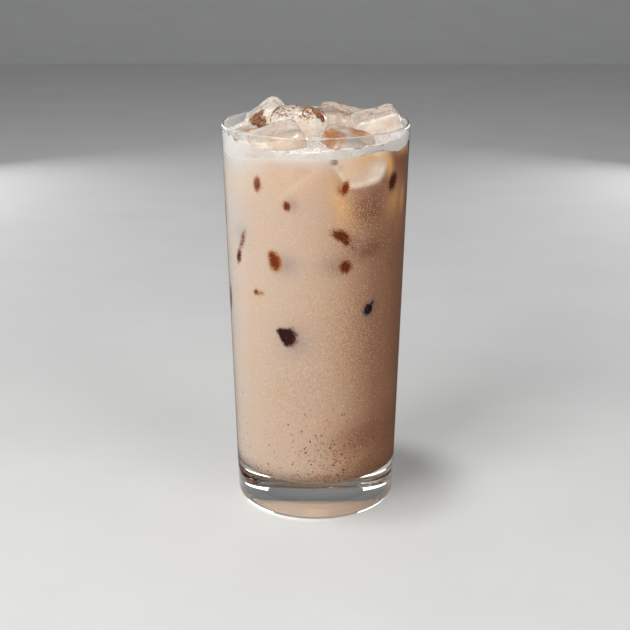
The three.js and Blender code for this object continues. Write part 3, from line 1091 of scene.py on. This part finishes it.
def make_spice(ice, foam, drink):
    draw = np.random.default_rng(11)
    places, normals = [], []
    for piece, node in zip(ice, ICE_NODES):
        found = drawn_on(piece, spice_on_ice(node), SPICE_COUNTS[node], draw)
        places.append(found[0])
        normals.append(found[1])

    def on_foam(centres, face_normals):
        return (face_normals[:, 2] > 0.5) * (0.15 + clumps(centres, 5 * MM, 31))

    found = drawn_on(foam, on_foam, SPICE_ON_FOAM, draw)
    places = np.concatenate(places + [found[0]])
    normals = np.concatenate(normals + [found[1]])
    radii = drawn_radii(SPICE_RADII, len(places), draw)
    obj = scattered("spice_on_top", round_grain(3, 5), places, normals, radii, 0.6, 0.35, draw)
    finish_spice(obj)
    settled = settled_spice(drink, draw)
    finish_spice(settled)


def settled_spice(drink, draw):
    """Dark grains that have sunk to the bottom of the drink and show at its wall."""

    def density(centres, normals):
        wall = WallPlane(centres)
        low_right = np.exp(-wall.ellipse(*SETTLED_AREA) ** 2)
        edge = 0.5 * smooth_step(centres[:, 2] / MM, 22, 16)
        sparse = 0.04 * smooth_step(centres[:, 2] / MM, 62, 20)
        outward = np.hypot(normals[:, 0], normals[:, 1]) > 0.25
        return outward * (low_right + edge + sparse) * wall.on_wall

    places, normals = drawn_on(drink, density, SETTLED_SPICE, draw)
    radii = drawn_radii(SETTLED_RADII, len(places), draw)
    return scattered("settled_spice", round_grain(3, 5), places, normals, radii, 0.45, 0.35, draw)


def finish_spice(obj):
    obj.data.materials.append(spice_material())
    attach(obj, "root")


def make_bubbles(foam):
    """Larger bubbles standing half out of the froth, thickest at the wall and in patches."""
    draw = np.random.default_rng(5)

    def density(centres, normals):
        from_wall = inner_radius(FOAM_TOP) - np.hypot(centres[:, 0], centres[:, 1])
        at_wall = np.exp(-from_wall / (3 * MM))
        return (normals[:, 2] > 0.3) * (0.25 + at_wall + clumps(centres, 4 * MM, 41))

    places, normals = drawn_on(foam, density, FOAM_BUBBLES, draw)
    radii = drawn_radii(BUBBLE_RADII, len(places), draw)
    inside = np.hypot(places[:, 0], places[:, 1]) + radii < inner_radius(FOAM_TOP)
    places, normals, radii = places[inside], normals[inside], radii[inside]
    obj = scattered("foam_bubbles", round_grain(6, 8), places, normals, radii, 0.9, 0.08, draw)
    shade_smooth(obj)
    obj.data.materials.append(bubble_material())
    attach(obj, "root")


# Stage
def make_camera():
    data = bpy.data.cameras.new("camera")
    data.sensor_width = 36
    data.lens = CAMERA_LENS
    data.clip_start = 0.01
    camera = bpy.data.objects.new("camera", data)
    camera.location = CAMERA_PLACE
    camera.rotation_euler = (math.radians(90) - CAMERA_TILT, 0, 0)
    bpy.context.scene.collection.objects.link(camera)
    bpy.context.scene.camera = camera


def area_light(name, place, aim, size, power):
    data = bpy.data.lights.new(name, "AREA")
    data.shape = "RECTANGLE"
    data.size, data.size_y = size
    data.energy = power
    light = bpy.data.objects.new(name, data)
    light.location = place
    light.rotation_euler = (Vector(aim) - Vector(place)).to_track_quat("-Z", "Y").to_euler()
    bpy.context.scene.collection.objects.link(light)
    return light


def make_floor():
    """A pale floor that sweeps up into a wall far behind."""
    n = Nodes("pale_floor")
    n.link(n.mix(n.scaled(n.noise(60 * MM, 3), 0.3, 0.7), (0.66, 0.66, 0.65), (0.69, 0.69, 0.68)),
           n.bsdf.inputs["Base Color"])
    n.set(Roughness=0.7)
    half_width, front, bend_start, bend_radius, wall_top = 4.0, -2.0, 1.4, 0.9, 3.5
    profile = [(front, UNDER_GLASS), (bend_start, UNDER_GLASS)]
    for y, z in arc(0, 0, bend_radius, -90, 0, 16):
        profile.append((bend_start + y, bend_radius + z + UNDER_GLASS))
    profile.append((bend_start + bend_radius, wall_top))
    verts = [(x, y, z) for y, z in profile for x in (-half_width, half_width)]
    faces = [(2 * i, 2 * i + 1, 2 * i + 3, 2 * i + 2) for i in range(len(profile) - 1)]
    floor = mesh_object("floor", verts, faces)
    shade_smooth(floor)
    floor.data.materials.append(n.material)


def make_card():
    """A dark ring on the floor, which only mirrors show, so that the glass's front stays clear."""
    n = Nodes("dark_card")
    n.link(n.mix(n.noise(30 * MM, 2), (0.012, 0.013, 0.013), (0.02, 0.02, 0.02)),
           n.bsdf.inputs["Base Color"])
    n.set(Roughness=0.9)
    sides, height = 48, 0.5 * MM
    edges = (46 * MM, 1.7)
    angles = np.linspace(0, 2 * math.pi, sides, endpoint=False)
    verts = [(r * math.sin(a), -r * math.cos(a), height) for r in edges for a in angles]
    faces = [(j, (j + 1) % sides, sides + (j + 1) % sides, sides + j) for j in range(sides)]
    card = mesh_object("dark_card", verts, faces)
    card.data.materials.append(n.material)
    for kind in ("camera", "diffuse", "shadow", "transmission", "volume_scatter"):
        setattr(card, "visible_" + kind, False)


def make_lights():
    area_light("key_above", place=(-0.16, -0.06, 1.3), aim=(0, 0, 0.05), size=(0.16, 0.16), power=5.4)
    area_light("soft_left", place=(-0.50, -0.62, 0.52), aim=(0, 0, 0.09), size=(0.5, 0.7), power=6.5)
    fill = area_light("fill_right", place=(0.62, -0.58, 0.42), aim=(0, 0, 0.10), size=(0.5, 0.6), power=3.2)
    fill.visible_glossy = False
    for side in (-1, 1):
        place = (side * 0.43, 0.60, 0.15)
        area_light("panel_behind", place=place, aim=(0, 0, 0.13), size=(0.34, 0.20), power=0.70)
    # The light that a clear base gathers and carries up into the drink
    dome = (0, 0, 0.9 * MM)
    carried = area_light("carried_by_base", place=dome, aim=(0, 0, 0.1), size=(0.03, 0.03), power=0.006)
    for kind in ("camera", "glossy", "transmission"):
        setattr(carried, "visible_" + kind, False)
    world = bpy.data.worlds.new("room")
    world.use_nodes = True
    background = world.node_tree.nodes["Background"]
    background.inputs["Color"].default_value = (0.9, 0.93, 0.95, 1)
    background.inputs["Strength"].default_value = 0.2
    bpy.context.scene.world = world


def set_film():
    scene = bpy.context.scene
    scene.view_settings.view_transform = "Standard"
    scene.cycles.max_bounces = 14
    scene.cycles.transmission_bounces = 14
    scene.cycles.transparent_max_bounces = 14
    scene.cycles.glossy_bounces = 6
    scene.cycles.diffuse_bounces = 5
    scene.cycles.sample_clamp_indirect = 6
    scene.cycles.caustics_reflective = False
    scene.cycles.use_denoising = True


make_camera()
make_floor()
make_card()
make_lights()
set_film()
make_glass()
ice = [make_ice(node, order) for order, node in enumerate(ICE_NODES)]
cups = [shrunk(piece, INTO_ICE) for piece in ice]
drink = make_drink(cups)
foam = make_foam(cups)
for cup in cups:
    bpy.data.objects.remove(cup)
make_bubbles(foam)
make_spice(ice, foam, drink)
